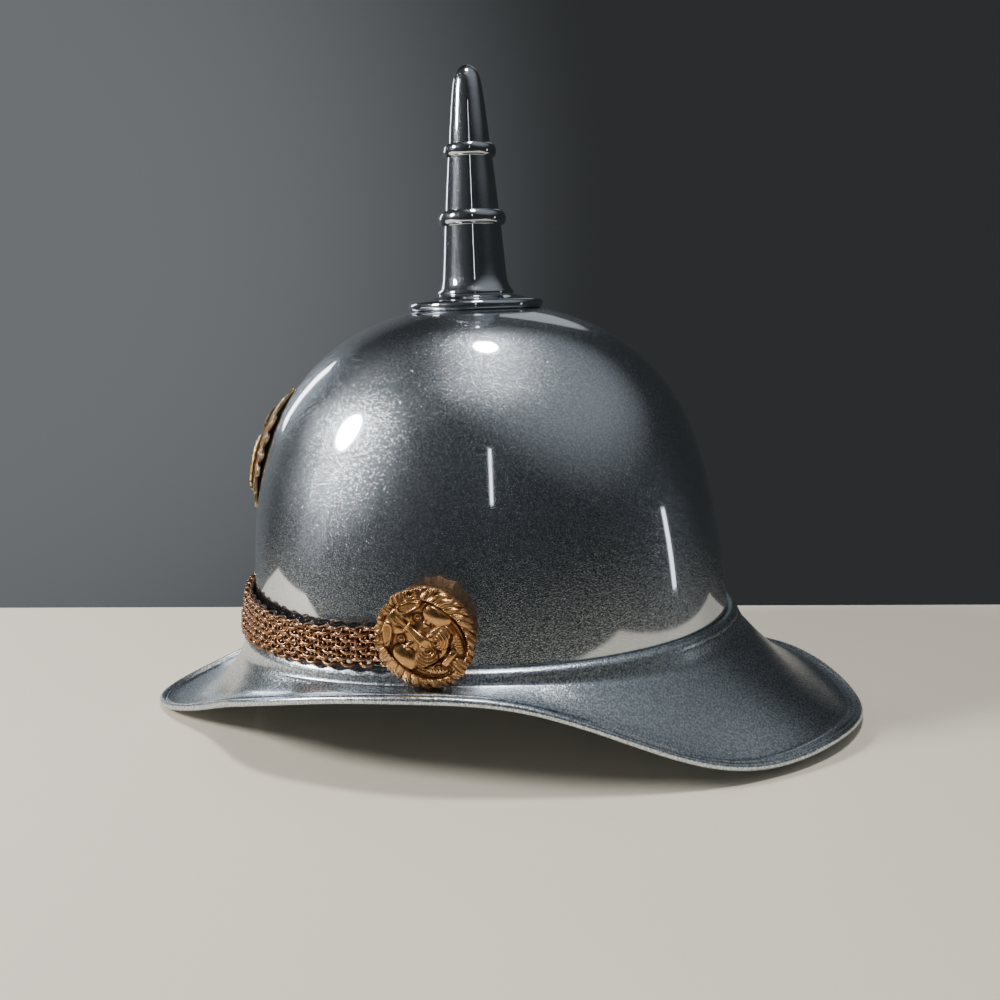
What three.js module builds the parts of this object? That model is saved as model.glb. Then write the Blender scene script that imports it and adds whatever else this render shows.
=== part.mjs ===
// Ceremonial band helmet: a chromed metal dome on a flared brim, with a turned spike on a round plate, a front badge,
// and a woven chin chain held by a lion-head boss on each side. Lengths are in millimetres.
import * as THREE from "three";

// In the helmet's own frame +Z is the dome's axis, -X points to the front peak, and z = 0 is the ring where the dome
// enters the brim's shoulder.
const DOME_HALF_LENGTH = 110;
const DOME_HALF_WIDTH = 91;
const DOME_HEIGHT = 138;
const DOME_SKIRT = 5;
const CROWN_OVAL = 0.72;
const CROWN_ROUND = 0.27;
const FRONT_SHORT = 6;
const FRONT_SQUARE = 0.4;
const FRONT_TOP = 0.56;
const SHEET = 1.3;
const GAP = 0.3;

const SHOULDER_OUT = 4.6;
const SHOULDER_TOP = 0.8;
const SHOULDER_FOOT = -4.5;
const BRIM_FRONT = 159.4;
const BRIM_REAR = 169.7;
const BRIM_DROP = 46.4;
const EDGE_BEAD_RADIUS = 1.7;
const EDGE_RIDGE = 0.5;

const PLATE_RADIUS = 29.9;
const PLATE_RIM = 4.1;
const PLATE_RISE = 2.2;
const SPIKE_HEIGHT = 96;
const SPIKE_BEAD_RADIUS = 14.8;

const CHAIN_THICKNESS = 6.4;
const CHAIN_MAX_HEIGHT = 18;
const CHAIN_END_ANGLE = 82;

const BOSS_HALF_WIDTH = 19.2;
const BOSS_HALF_HEIGHT = 20.6;
const BOSS_BACK = 2.2;
const BOSS_RELIEF = 6.6;
const BOSS_PLAN_ANGLE = 84.7;
const BOSS_CENTRE_Z = 15.8;
const BOSS_POST_RADIUS = 3.6;

const BADGE_CENTRE_Z = 74;
const BADGE_HALF_WIDTH = 21.5;
const BADGE_HALF_HEIGHT = 29;
const BADGE_STAND_OFF = 0.9;
const BADGE_SHEET = 1.2;
const BADGE_BOW = 2.8;

const TURNS = 48;
const BRIM_STATIONS = 64;

// The dome's profile: how far out it is, as a share of its half-length, at each share of its height.
const DOME_PROFILE = [
  { up: 0.000, out: 1.000 },
  { up: 0.072, out: 0.991 },
  { up: 0.200, out: 0.972 },
  { up: 0.330, out: 0.945 },
  { up: 0.450, out: 0.911 },
  { up: 0.560, out: 0.868 },
  { up: 0.660, out: 0.812 },
  { up: 0.745, out: 0.742 },
  { up: 0.820, out: 0.655 },
  { up: 0.882, out: 0.552 },
  { up: 0.930, out: 0.437 },
  { up: 0.968, out: 0.300 },
  { up: 0.992, out: 0.150 },
  { up: 1.000, out: 0.000 },
];

// The brim's rolled edge, by angle round from the rear: its distance from the axis as a share of BRIM_REAR, its drop
// below the ring as a share of BRIM_DROP, and how much more steeply than a straight slope the sheet leaves the dome.
const BRIM_EDGE = [
  { angle: 0, reach: 1.000, drop: 1.000, flare: 1.65 },
  { angle: 20, reach: 0.952, drop: 0.905, flare: 1.65 },
  { angle: 40, reach: 0.826, drop: 0.885, flare: 1.60 },
  { angle: 60, reach: 0.706, drop: 0.521, flare: 1.50 },
  { angle: 80, reach: 0.650, drop: 0.190, flare: 1.40 },
  { angle: 100, reach: 0.650, drop: 0.110, flare: 1.40 },
  { angle: 120, reach: 0.676, drop: 0.177, flare: 1.60 },
  { angle: 140, reach: 0.728, drop: 0.361, flare: 1.90 },
  { angle: 160, reach: 0.785, drop: 0.676, flare: 2.15 },
  { angle: 180, reach: BRIM_FRONT / BRIM_REAR, drop: 0.900, flare: 2.20 },
];

// The spike's turned profile, from its foot up: height as a share of SPIKE_HEIGHT, radius as a share of the bead's.
const SPIKE_PROFILE = [
  { up: 0.000, out: 1.150 },
  { up: 0.014, out: 1.150 },
  { up: 0.040, out: 1.040 },
  { up: 0.085, out: 0.960 },
  { up: 0.300, out: 0.850 },
  { up: 0.318, out: 0.960 },
  { up: 0.338, out: 1.000 },
  { up: 0.358, out: 0.960 },
  { up: 0.376, out: 0.800 },
  { up: 0.600, out: 0.665 },
  { up: 0.614, out: 0.740 },
  { up: 0.632, out: 0.775 },
  { up: 0.650, out: 0.740 },
  { up: 0.666, out: 0.600 },
  { up: 0.830, out: 0.495 },
  { up: 0.930, out: 0.405 },
  { up: 0.965, out: 0.330 },
  { up: 0.990, out: 0.190 },
  { up: 1.000, out: 0.000 },
];

// The chain band from the middle of the front to the boss: its height as a share of CHAIN_MAX_HEIGHT, how far its
// lower edge lifts off the shoulder and how far its upper edge leans in over the dome.
const CHAIN_ROUTE = [
  { share: 0.00, height: 1.00, lift: 0.0, lean: 3.2 },
  { share: 0.20, height: 1.00, lift: 0.0, lean: 3.2 },
  { share: 0.39, height: 0.97, lift: 0.0, lean: 2.6 },
  { share: 0.56, height: 0.91, lift: 0.0, lean: 1.4 },
  { share: 0.76, height: 0.86, lift: 0.4, lean: 0.4 },
  { share: 1.00, height: 0.87, lift: 2.4, lean: 0.0 },
];

// The lion's face, upright, as soft mounds: place and size as shares of the boss's half-size, tilt in degrees.
const LION_MOUNDS = [
  { x: 0.00, y: 0.00, wide: 0.62, tall: 0.66, tilt: 0, rise: 0.50 },
  { x: 0.00, y: 0.10, wide: 0.15, tall: 0.30, tilt: 0, rise: 0.34 },
  { x: 0.00, y: -0.08, wide: 0.20, tall: 0.12, tilt: 0, rise: 0.14 },
  { x: -0.20, y: -0.23, wide: 0.24, tall: 0.19, tilt: 0, rise: 0.24 },
  { x: 0.20, y: -0.23, wide: 0.24, tall: 0.19, tilt: 0, rise: 0.24 },
  { x: -0.35, y: 0.55, wide: 0.28, tall: 0.13, tilt: 22, rise: 0.26 },
  { x: 0.35, y: 0.55, wide: 0.28, tall: 0.13, tilt: -22, rise: 0.26 },
  { x: -0.50, y: 0.11, wide: 0.20, tall: 0.20, tilt: 0, rise: 0.28 },
  { x: 0.50, y: 0.11, wide: 0.20, tall: 0.20, tilt: 0, rise: 0.28 },
  { x: -0.27, y: 0.32, wide: 0.14, tall: 0.10, tilt: 0, rise: -0.22 },
  { x: 0.27, y: 0.32, wide: 0.14, tall: 0.10, tilt: 0, rise: -0.22 },
  { x: 0.00, y: -0.57, wide: 0.24, tall: 0.11, tilt: 0, rise: 0.18 },
];

const radians = THREE.MathUtils.degToRad;

// Reads a table between its rows, with level ends.
function readTable(rows, key, name, value) {
  const last = rows.length - 1;
  let i = 0;
  while (i < last - 1 && value > rows[i + 1][key]) i += 1;
  const at = (k) => rows[Math.min(last, Math.max(0, k))];
  const slope = (k) => (k <= 0 || k >= last ? 0 : (at(k + 1)[name] - at(k - 1)[name]) / (at(k + 1)[key] - at(k - 1)[key]));
  const width = at(i + 1)[key] - at(i)[key];
  const t = Math.min(1, Math.max(0, (value - at(i)[key]) / width));
  const a = 2 * t ** 3 - 3 * t ** 2 + 1;
  const b = t ** 3 - 2 * t ** 2 + t;
  const c = 3 * t ** 2 - 2 * t ** 3;
  const d = t ** 3 - t ** 2;
  return a * at(i)[name] + b * width * slope(i) + c * at(i + 1)[name] + d * width * slope(i + 1);
}

// A closed mesh from points and triangles, turned to face out.
function solid(points, triangles) {
  const flat = new Float32Array(points.flatMap((p) => [p.x, p.y, p.z]));
  const sixfold = triangles.reduce((sum, [a, b, c]) => {
    return sum + points[a].dot(new THREE.Vector3().crossVectors(points[b], points[c]));
  }, 0);
  const facing = sixfold > 0 ? triangles : triangles.map(([a, b, c]) => [a, c, b]);
  const geometry = new THREE.BufferGeometry();
  geometry.setAttribute("position", new THREE.BufferAttribute(flat, 3));
  geometry.setIndex(facing.flat());
  geometry.computeVertexNormals();
  return geometry;
}

// Skins closed sections of equal length. A ring joins its last section to its first, a run is capped at both ends.
function skin(sections, ring) {
  const count = sections[0].length;
  const points = sections.flat();
  const triangles = [];
  const steps = ring ? sections.length : sections.length - 1;
  for (let i = 0; i < steps; i += 1) {
    const here = i * count;
    const next = ((i + 1) % sections.length) * count;
    for (let j = 0; j < count; j += 1) {
      const k = (j + 1) % count;
      triangles.push([here + j, next + j, next + k], [here + j, next + k, here + k]);
    }
  }
  if (!ring) {
    const end = (sections.length - 1) * count;
    for (let j = 1; j < count - 1; j += 1) {
      triangles.push([0, j, j + 1], [end, end + j + 1, end + j]);
    }
  }
  return solid(points, triangles);
}

// Turns a profile of [radius, height] pairs that starts and ends on the axis. The plan gives a ring its shape.
const circle = (radius, height, a) => [radius * Math.cos(a), radius * Math.sin(a)];
function turned(profile, turns, plan = circle) {
  const rings = profile.slice(1, -1);
  const axis = (pair) => new THREE.Vector3(0, 0, pair[1]);
  const points = [axis(profile[0]), axis(profile[profile.length - 1])];
  const triangles = [];
  for (const [radius, height] of rings) {
    for (let i = 0; i < turns; i += 1) {
      const a = (2 * Math.PI * i) / turns;
      points.push(new THREE.Vector3(...plan(radius, height, a), height));
    }
  }
  const at = (ring, i) => 2 + ring * turns + (i % turns);
  const last = rings.length - 1;
  for (let i = 0; i < turns; i += 1) {
    triangles.push([0, at(0, i), at(0, i + 1)], [1, at(last, i + 1), at(last, i)]);
    for (let r = 0; r < last; r += 1) {
      triangles.push([at(r, i), at(r + 1, i), at(r + 1, i + 1)], [at(r, i), at(r + 1, i + 1), at(r, i + 1)]);
    }
  }
  return solid(points, triangles);
}

// A patch with a raised face: its outline is a radius by angle, and two functions of a point in its plane, and of the
// ring that the point is on, place its face and its back.
function patch(outline, face, back, around, rings) {
  const points = [face(0, 0, 0), back(0, 0, 0)];
  const triangles = [];
  for (const side of [face, back]) {
    for (let r = 1; r <= rings; r += 1) {
      for (let i = 0; i < around; i += 1) {
        const a = (2 * Math.PI * i) / around;
        const radius = (r / rings) * outline(a);
        points.push(side(radius * Math.cos(a), radius * Math.sin(a), r));
      }
    }
  }
  const at = (side, r, i) => 2 + (side * rings + r - 1) * around + (i % around);
  for (let i = 0; i < around; i += 1) {
    triangles.push([0, at(0, 1, i), at(0, 1, i + 1)], [1, at(1, 1, i + 1), at(1, 1, i)]);
    for (let r = 1; r < rings; r += 1) {
      triangles.push([at(0, r, i), at(0, r + 1, i), at(0, r + 1, i + 1)]);
      triangles.push([at(0, r, i), at(0, r + 1, i + 1), at(0, r, i + 1)]);
      triangles.push([at(1, r, i), at(1, r + 1, i + 1), at(1, r + 1, i)]);
      triangles.push([at(1, r, i), at(1, r, i + 1), at(1, r + 1, i + 1)]);
    }
    triangles.push([at(0, rings, i), at(1, rings, i), at(1, rings, i + 1)]);
    triangles.push([at(0, rings, i), at(1, rings, i + 1), at(0, rings, i + 1)]);
  }
  return solid(points, triangles);
}

const chrome = { color: 0xb9bec4, roughness: 0.12, metalness: 1 };
const brass = { color: 0xa9753c, roughness: 0.32, metalness: 1 };
const helmet = new THREE.Group();

function add(name, geometry, look) {
  const mesh = new THREE.Mesh(geometry, new THREE.MeshStandardMaterial(look));
  mesh.name = name;
  helmet.add(mesh);
}

// Dome: an oval bowl of sheet, its skirt reaching down inside the brim's shoulder. Its plan turns round at the crown,
// and low down its front is shorter and squarer than its rear.
const crownShare = (radius) => {
  const rounded = THREE.MathUtils.smoothstep(-radius / DOME_HALF_LENGTH, -CROWN_OVAL, -CROWN_ROUND);
  return THREE.MathUtils.lerp(DOME_HALF_WIDTH / DOME_HALF_LENGTH, 1, rounded);
};
const frontness = (height) => 1 - Math.min(1, Math.max(0, height) / (FRONT_TOP * DOME_HEIGHT)) ** 1.6;

// A point in plan on an oval whose front, at -X, is shortened and squared by its share of frontness.
function ovalPoint(halfLength, halfWidth, front, a) {
  if (Math.cos(a) > 0) return [halfLength * Math.cos(a), halfWidth * Math.sin(a)];
  const power = 2 / (2 + FRONT_SQUARE * front);
  return [
    -(halfLength - FRONT_SHORT * front ** 2) * Math.abs(Math.cos(a)) ** power,
    halfWidth * Math.sign(Math.sin(a)) * Math.abs(Math.sin(a)) ** power,
  ];
}
const domePlan = (radius, height, a) => ovalPoint(radius, radius * crownShare(radius), frontness(height), a);
const domeShare = (height) => readTable(DOME_PROFILE, "up", "out", Math.max(0, height) / DOME_HEIGHT);
const outerWall = DOME_PROFILE.map(({ up, out }) => [out * DOME_HALF_LENGTH, up * DOME_HEIGHT]);
const domeShrink = (DOME_HALF_LENGTH - SHEET) / DOME_HALF_LENGTH;
const domeLower = (DOME_HEIGHT - SHEET) / DOME_HEIGHT;
const innerWall = outerWall.filter((_, i) => i % 2 === 0 || i === 13).map(([out, up]) => [out * domeShrink, up * domeLower]);
add("dome", turned([
  ...outerWall.toReversed(),
  [DOME_HALF_LENGTH, -DOME_SKIRT],
  [DOME_HALF_LENGTH - SHEET, -DOME_SKIRT],
  ...innerWall,
], TURNS, domePlan), chrome);

// Distance from the axis to an oval that lies a given way outside the dome's ring, in a given direction.
function ovalReach(angle, out) {
  const front = Math.cos(angle) < 0;
  const power = front ? 2 + FRONT_SQUARE : 2;
  const along = Math.abs(Math.cos(angle)) / (DOME_HALF_LENGTH + out - (front ? FRONT_SHORT : 0));
  const across = Math.abs(Math.sin(angle)) / (DOME_HALF_WIDTH + out);
  return (along ** power + across ** power) ** (-1 / power);
}

// Brim: one section per station round the helmet, from the shoulder down the flare to the rolled edge and back up.
function brimSection(angle) {
  const degrees = Math.abs(THREE.MathUtils.radToDeg(Math.atan2(Math.sin(angle), Math.cos(angle))));
  const read = (name) => readTable(BRIM_EDGE, "angle", name, degrees);
  const wall = ovalReach(angle, GAP);
  const shoulder = ovalReach(angle, SHOULDER_OUT);
  const edge = read("reach") * BRIM_REAR;
  const low = -read("drop") * BRIM_DROP;
  const outer = [
    [wall, SHOULDER_TOP - 0.1],
    [wall + 0.35 * SHOULDER_OUT, SHOULDER_TOP],
    [wall + 0.75 * SHOULDER_OUT, SHOULDER_TOP - 1.1],
    [shoulder - 0.1, SHOULDER_TOP - 3],
  ];
  const spans = [0, 0.08, 0.20, 0.36, 0.56, 0.80];
  for (const span of spans) {
    const fall = 1 - (1 - span) ** read("flare");
    outer.push([shoulder + span * (edge - shoulder), SHOULDER_FOOT + fall * (low - SHOULDER_FOOT)]);
  }
  const before = outer[outer.length - 1];
  const run = Math.hypot(edge - before[0], low - before[1]);
  const along = [(edge - before[0]) / run, (low - before[1]) / run];
  const across = [-along[1], along[0]];
  const offEdge = (back, rise) => [
    edge - back * along[0] + rise * across[0],
    low - back * along[1] + rise * across[1],
  ];
  const lip = [offEdge(4.6, 0), offEdge(4.2, EDGE_RIDGE), offEdge(3.2, 0)];
  for (const turn of [120, 60, 0, -60, -120]) {
    const a = radians(turn);
    lip.push(offEdge(EDGE_BEAD_RADIUS * (1 - Math.cos(a)), EDGE_BEAD_RADIUS * Math.sin(a) - SHEET / 2));
  }
  lip.push(offEdge(3.4, -SHEET));
  const inner = outer.map((point, i) => {
    const a = outer[Math.max(0, i - 1)];
    const b = i < outer.length - 1 ? outer[i + 1] : lip[0];
    const length = Math.hypot(b[0] - a[0], b[1] - a[1]);
    return [point[0] + (SHEET * (b[1] - a[1])) / length, point[1] - (SHEET * (b[0] - a[0])) / length];
  });
  inner[0] = [wall, SHOULDER_TOP - 0.1 - SHEET];
  inner[1] = [wall + 0.3 * SHOULDER_OUT, SHOULDER_TOP - SHEET];
  inner[2] = [wall + 0.5 * SHOULDER_OUT, SHOULDER_TOP - SHEET - 0.8];
  const section = [...outer, ...lip, ...inner.toReversed()];
  return section.map(([out, z]) => new THREE.Vector3(out * Math.cos(angle), out * Math.sin(angle), z));
}
const stations = Array.from({ length: BRIM_STATIONS }, (_, i) => (2 * Math.PI * i) / BRIM_STATIONS);
add("brim", skin(stations.map(brimSection), true), chrome);

// Spike plate: a dished disc, hollow below so that its rim sits on the dome.
const domeAt = (radius) => {
  let low = 0;
  let high = DOME_HEIGHT;
  while (high - low > 0.01) {
    const middle = (low + high) / 2;
    if (domeShare(middle) * DOME_HALF_LENGTH > radius) low = middle;
    else high = middle;
  }
  return low;
};
const plateFoot = domeAt(PLATE_RADIUS) + GAP;
const plateTop = plateFoot + PLATE_RIM;
add("spike_plate", turned([
  [0, plateTop + PLATE_RISE],
  [0.62 * PLATE_RADIUS, plateTop + PLATE_RISE],
  [0.80 * PLATE_RADIUS, plateTop + 0.6],
  [0.93 * PLATE_RADIUS, plateTop],
  [PLATE_RADIUS, plateTop - 0.30 * PLATE_RIM],
  [PLATE_RADIUS, plateTop - 0.72 * PLATE_RIM],
  [0.95 * PLATE_RADIUS, plateFoot],
  [0.86 * PLATE_RADIUS, domeAt(0.86 * PLATE_RADIUS) + GAP],
  [0.40 * PLATE_RADIUS, DOME_HEIGHT + GAP],
  [0, DOME_HEIGHT + GAP],
], 36), chrome);

// Spike: turned in one piece, standing on the plate.
const spikeFoot = plateTop + PLATE_RISE + GAP;
add("spike", turned([
  [0, spikeFoot],
  ...SPIKE_PROFILE.map(({ up, out }) => [out * SPIKE_BEAD_RADIUS, spikeFoot + up * SPIKE_HEIGHT]),
], 28), chrome);

// A point on the dome, by sideways distance and height, pushed out from its wall at the front.
function onFront(across, height, out) {
  const place = (y, z) => {
    const radius = DOME_HALF_LENGTH * domeShare(z);
    const power = 2 + FRONT_SQUARE * frontness(z);
    const inside = 1 - Math.abs(y / (radius * crownShare(radius))) ** power;
    return new THREE.Vector3(-(radius - FRONT_SHORT * frontness(z) ** 2) * inside ** (1 / power), y, z);
  };
  const here = place(across, height);
  const up = place(across, height + 1).sub(here);
  const side = place(across + 1, height).sub(here);
  return here.addScaledVector(new THREE.Vector3().crossVectors(up, side).normalize().negate(), -out);
}

// A badge piece's point: sideways and upward from the badge's middle, and out from the back of its bowed sheet.
function onBadge(x, y, out) {
  const bow = 1 - (x / BADGE_HALF_WIDTH) ** 2 - (y / BADGE_HALF_HEIGHT) ** 2;
  return onFront(x, BADGE_CENTRE_Z + 0.97 * y, BADGE_STAND_OFF + BADGE_BOW * Math.max(0, bow) + out);
}

// Badge star: long and short rays in turn, a bowed sheet bent round the dome.
const starOutline = (a) => {
  const oval = 1 / Math.hypot(Math.cos(a) / BADGE_HALF_WIDTH, Math.sin(a) / BADGE_HALF_HEIGHT);
  return oval * (0.80 + 0.20 * Math.abs(Math.cos(8 * a)) ** 1.5);
};
const rayRelief = (x, y) => 0.25 * Math.cos(16 * Math.atan2(y, x));
add("badge_star", patch(
  starOutline,
  (x, y, ring) => onBadge(x, y, BADGE_SHEET + (ring > 0 ? rayRelief(x, y) : 0)),
  (x, y) => onBadge(x, y, 0),
  64,
  2,
), brass);

// Badge wreath: a ring of overlapping leaves on the star's lower half.
const WREATH_RADIUS = 10.5;
const WREATH_DOWN = 6.5;
const starFace = BADGE_SHEET + 0.25 + GAP;
const wreathSections = Array.from({ length: 36 }, (_, i) => {
  const a = (2 * Math.PI * i) / 36;
  const thick = 1.9 + 0.3 * Math.cos(18 * a);
  return Array.from({ length: 6 }, (__, j) => {
    const b = (2 * Math.PI * j) / 6;
    const r = WREATH_RADIUS + thick * Math.cos(b);
    return onBadge(r * Math.cos(a), r * Math.sin(a) - WREATH_DOWN, starFace + 0.95 + 0.45 * thick * Math.sin(b));
  });
});
add("badge_wreath", skin(wreathSections, true), brass);

// Badge boss: a plain low dome inside the wreath.
const roundRadius = 0.70 * WREATH_RADIUS;
const roundRise = (x, y) => 0.5 + 1.5 * Math.sqrt(Math.max(0, 1.02 - (x * x + y * y) / roundRadius ** 2));
add("badge_boss", patch(
  () => roundRadius,
  (x, y) => onBadge(x, y - WREATH_DOWN, starFace + roundRise(x, y)),
  (x, y) => onBadge(x, y - WREATH_DOWN, starFace),
  24,
  2,
), brass);

// Badge crest: a small fluted fan on the star's upper half.
const CREST_RADIUS = 6.2;
const CREST_UP = 13.5;
add("badge_crest", patch(
  (a) => CREST_RADIUS * (1 - 0.12 * Math.abs(Math.sin(3.5 * (a - radians(90))))),
  (x, y) => onBadge(x, y + CREST_UP, starFace + 1.9 - 0.9 * (Math.hypot(x, y) / CREST_RADIUS) ** 2),
  (x, y) => onBadge(x, y + CREST_UP, starFace),
  28,
  2,
), brass);

// Chin chain: the woven band lies round the front on the brim's shoulder, its ends under the bosses.
function onRing(angle, out, z) {
  const [x, y] = ovalPoint(DOME_HALF_LENGTH + out, DOME_HALF_WIDTH + out, 1, Math.PI - angle);
  return new THREE.Vector3(x, y, z);
}
const chainSections = Array.from({ length: 41 }, (_, i) => {
  const angle = radians(CHAIN_END_ANGLE) * (i / 20 - 1);
  const share = Math.abs(i / 20 - 1);
  const foot = SHOULDER_TOP + GAP + readTable(CHAIN_ROUTE, "share", "lift", share);
  const head = foot + readTable(CHAIN_ROUTE, "share", "height", share) * CHAIN_MAX_HEIGHT;
  const outside = GAP + CHAIN_THICKNESS;
  const headOutside = outside - readTable(CHAIN_ROUTE, "share", "lean", share);
  return [
    onRing(angle, GAP, foot + 0.6),
    onRing(angle, GAP + 0.5, foot),
    onRing(angle, outside - 0.8, foot),
    onRing(angle, outside, foot + 1.2),
    onRing(angle, headOutside - 0.8, head - 1.2),
    onRing(angle, headOutside - 2.0, head),
    onRing(angle, 0.4 * GAP, head),
  ];
});
add("chin_chain", skin(chainSections, false), brass);

// Lion bosses: a cast face in a ring of mane, its crown turned up and forward, with a short stud on its back.
function lionRise(x, y) {
  let rise = 0.16;
  for (const mound of LION_MOUNDS) {
    const turn = radians(mound.tilt);
    const dx = x - mound.x;
    const dy = y - mound.y;
    const u = (dx * Math.cos(turn) + dy * Math.sin(turn)) / mound.wide;
    const v = (dy * Math.cos(turn) - dx * Math.sin(turn)) / mound.tall;
    rise += mound.rise * Math.exp(-(u * u + v * v));
  }
  const radius = Math.hypot(x, y);
  const mane = Math.exp(-(((radius - 0.80) / 0.13) ** 2));
  return rise + mane * (0.26 + 0.10 * Math.cos(20 * Math.atan2(y, x)));
}

function lionBoss(side) {
  const centre = onRing(radians(BOSS_PLAN_ANGLE), 0, BOSS_CENTRE_Z);
  const ahead = onRing(radians(BOSS_PLAN_ANGLE - 4), 0, 0);
  const forward = ahead.sub(onRing(radians(BOSS_PLAN_ANGLE + 4), 0, 0)).normalize();
  const outward = new THREE.Vector3(forward.y, -forward.x, 0);
  const seat = CHAIN_THICKNESS + 2 * GAP;
  const place = (x, y, out) => centre.clone()
    .addScaledVector(forward, x)
    .addScaledVector(outward, out)
    .add(new THREE.Vector3(0, 0, y))
    .multiply(new THREE.Vector3(1, side, 1));
  const crown = radians(51);
  const upright = (x, y) => [
    (x * Math.cos(crown) - y * Math.sin(crown)) / BOSS_HALF_WIDTH,
    (x * Math.sin(crown) + y * Math.cos(crown)) / BOSS_HALF_HEIGHT,
  ];
  const outline = (a) => {
    const oval = 1 / Math.hypot(Math.cos(a) / BOSS_HALF_WIDTH, Math.sin(a) / BOSS_HALF_HEIGHT);
    return oval * (0.975 + 0.025 * Math.cos(20 * (a + crown)));
  };
  const stud = (x, y, ring) => {
    const shrink = BOSS_POST_RADIUS / Math.max(BOSS_POST_RADIUS, Math.hypot(x, y));
    const grow = ring === 1 ? BOSS_POST_RADIUS / Math.hypot(x, y) : shrink;
    return place(x * grow, y * grow, ring < 2 ? GAP : seat);
  };
  return patch(
    outline,
    (x, y) => place(x, y, seat + BOSS_BACK + BOSS_RELIEF * lionRise(...upright(x, y))),
    (x, y, ring) => (ring < 3 ? stud(x, y, ring) : place(x, y, seat)),
    36,
    8,
  );
}
add("lion_boss_left", lionBoss(-1), brass);
add("lion_boss_right", lionBoss(1), brass);

// At rest the helmet stands on its front peak and its neck guard, so it tips until the two are level.
helmet.updateMatrixWorld(true);
const bounds = () => new THREE.Box3().setFromObject(helmet, true);
const edgePoints = stations.flatMap(brimSection);
function lowest(front, tip) {
  const heights = edgePoints
    .filter((p) => (front ? p.x < 0 : p.x > 0))
    .map((p) => p.z * Math.cos(tip) - p.x * Math.sin(tip));
  return Math.min(...heights);
}
let tip = 0;
for (let i = 0; i < 20; i += 1) tip += (lowest(false, tip) - lowest(true, tip)) / (BRIM_FRONT + BRIM_REAR);
helmet.rotation.y = tip;
helmet.updateMatrixWorld(true);
const box = bounds();
helmet.position.set(-(box.min.x + box.max.x) / 2, -(box.min.y + box.max.y) / 2, -box.min.z);

const part = new THREE.Group();
part.add(helmet);
part.updateMatrixWorld(true);

export default part;
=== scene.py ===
import bpy
import math
import numpy as np
from mathutils import Matrix, Vector


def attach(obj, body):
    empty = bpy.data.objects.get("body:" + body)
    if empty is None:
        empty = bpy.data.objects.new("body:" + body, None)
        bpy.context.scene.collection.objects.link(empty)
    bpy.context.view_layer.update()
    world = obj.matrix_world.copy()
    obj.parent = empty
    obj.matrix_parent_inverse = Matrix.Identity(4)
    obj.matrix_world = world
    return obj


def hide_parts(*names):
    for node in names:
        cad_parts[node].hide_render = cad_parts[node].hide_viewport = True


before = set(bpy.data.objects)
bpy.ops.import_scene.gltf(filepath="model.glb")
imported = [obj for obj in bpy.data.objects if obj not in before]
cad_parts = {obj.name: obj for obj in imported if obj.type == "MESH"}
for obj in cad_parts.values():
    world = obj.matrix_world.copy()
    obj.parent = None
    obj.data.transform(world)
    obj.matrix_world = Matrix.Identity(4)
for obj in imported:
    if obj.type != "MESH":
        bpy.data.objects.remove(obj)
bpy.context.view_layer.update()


# The dome: an oval bowl spun from steel sheet, chromed and polished.
# Years of wiping left fine random scratches that glow round each highlight.
# Its skirt sits inside the brim's shoulder, where the two are soldered.

DOME_HALF_LENGTH = 110.0
DOME_HALF_WIDTH = 91.0
DOME_HEIGHT = 138.0
DOME_SKIRT = 5.0
CROWN_OVAL = 0.72
CROWN_ROUND = 0.27
FRONT_SHORT = 6.0
FRONT_SQUARE = 0.4
FRONT_TOP = 0.56
SHEET = 1.3
GAP = 0.3
FORWARD_TIP = -0.0136233
SET_DOWN = (-5.7092, 0.0, 45.9333)

DOME_PROFILE = [
    (0.000, 1.000), (0.072, 0.991), (0.200, 0.972), (0.330, 0.945), (0.450, 0.911), (0.560, 0.868),
    (0.660, 0.812), (0.745, 0.742), (0.820, 0.655), (0.882, 0.552), (0.930, 0.437), (0.968, 0.300),
    (0.992, 0.150), (1.000, 0.000),
]


def spline(points, spots):
    """A natural cubic spline through rows of values, read at spots counted in rows."""
    points = np.asarray(points, float)
    rows = len(points)
    left = np.zeros((rows, rows))
    right = np.zeros_like(points)
    left[0, 0] = left[-1, -1] = 1
    for i in range(1, rows - 1):
        left[i, i - 1:i + 2] = (1, 4, 1)
        right[i] = 6 * (points[i + 1] - 2 * points[i] + points[i - 1])
    bend = np.linalg.solve(left, right)
    spots = np.clip(np.asarray(spots, float), 0, rows - 1)
    i = np.minimum(spots.astype(int), rows - 2)
    t = (spots - i).reshape(-1, *[1] * (points.ndim - 1))
    a, b = points[i], points[i + 1]
    m, n = bend[i], bend[i + 1]
    return (1 - t) * a + t * b + ((1 - t) ** 3 - (1 - t)) * m / 6 + (t ** 3 - t) * n / 6


def in_place(points):
    """Turns points from the helmet's own frame, in mm, to the resting helmet, in metres."""
    points = np.asarray(points, float)
    x, y, z = points[..., 0], points[..., 1], points[..., 2]
    c, s = math.cos(FORWARD_TIP), math.sin(FORWARD_TIP)
    return np.stack([x * c + z * s + SET_DOWN[0], y + SET_DOWN[1], z * c - x * s + SET_DOWN[2]], -1) / 1000


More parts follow.
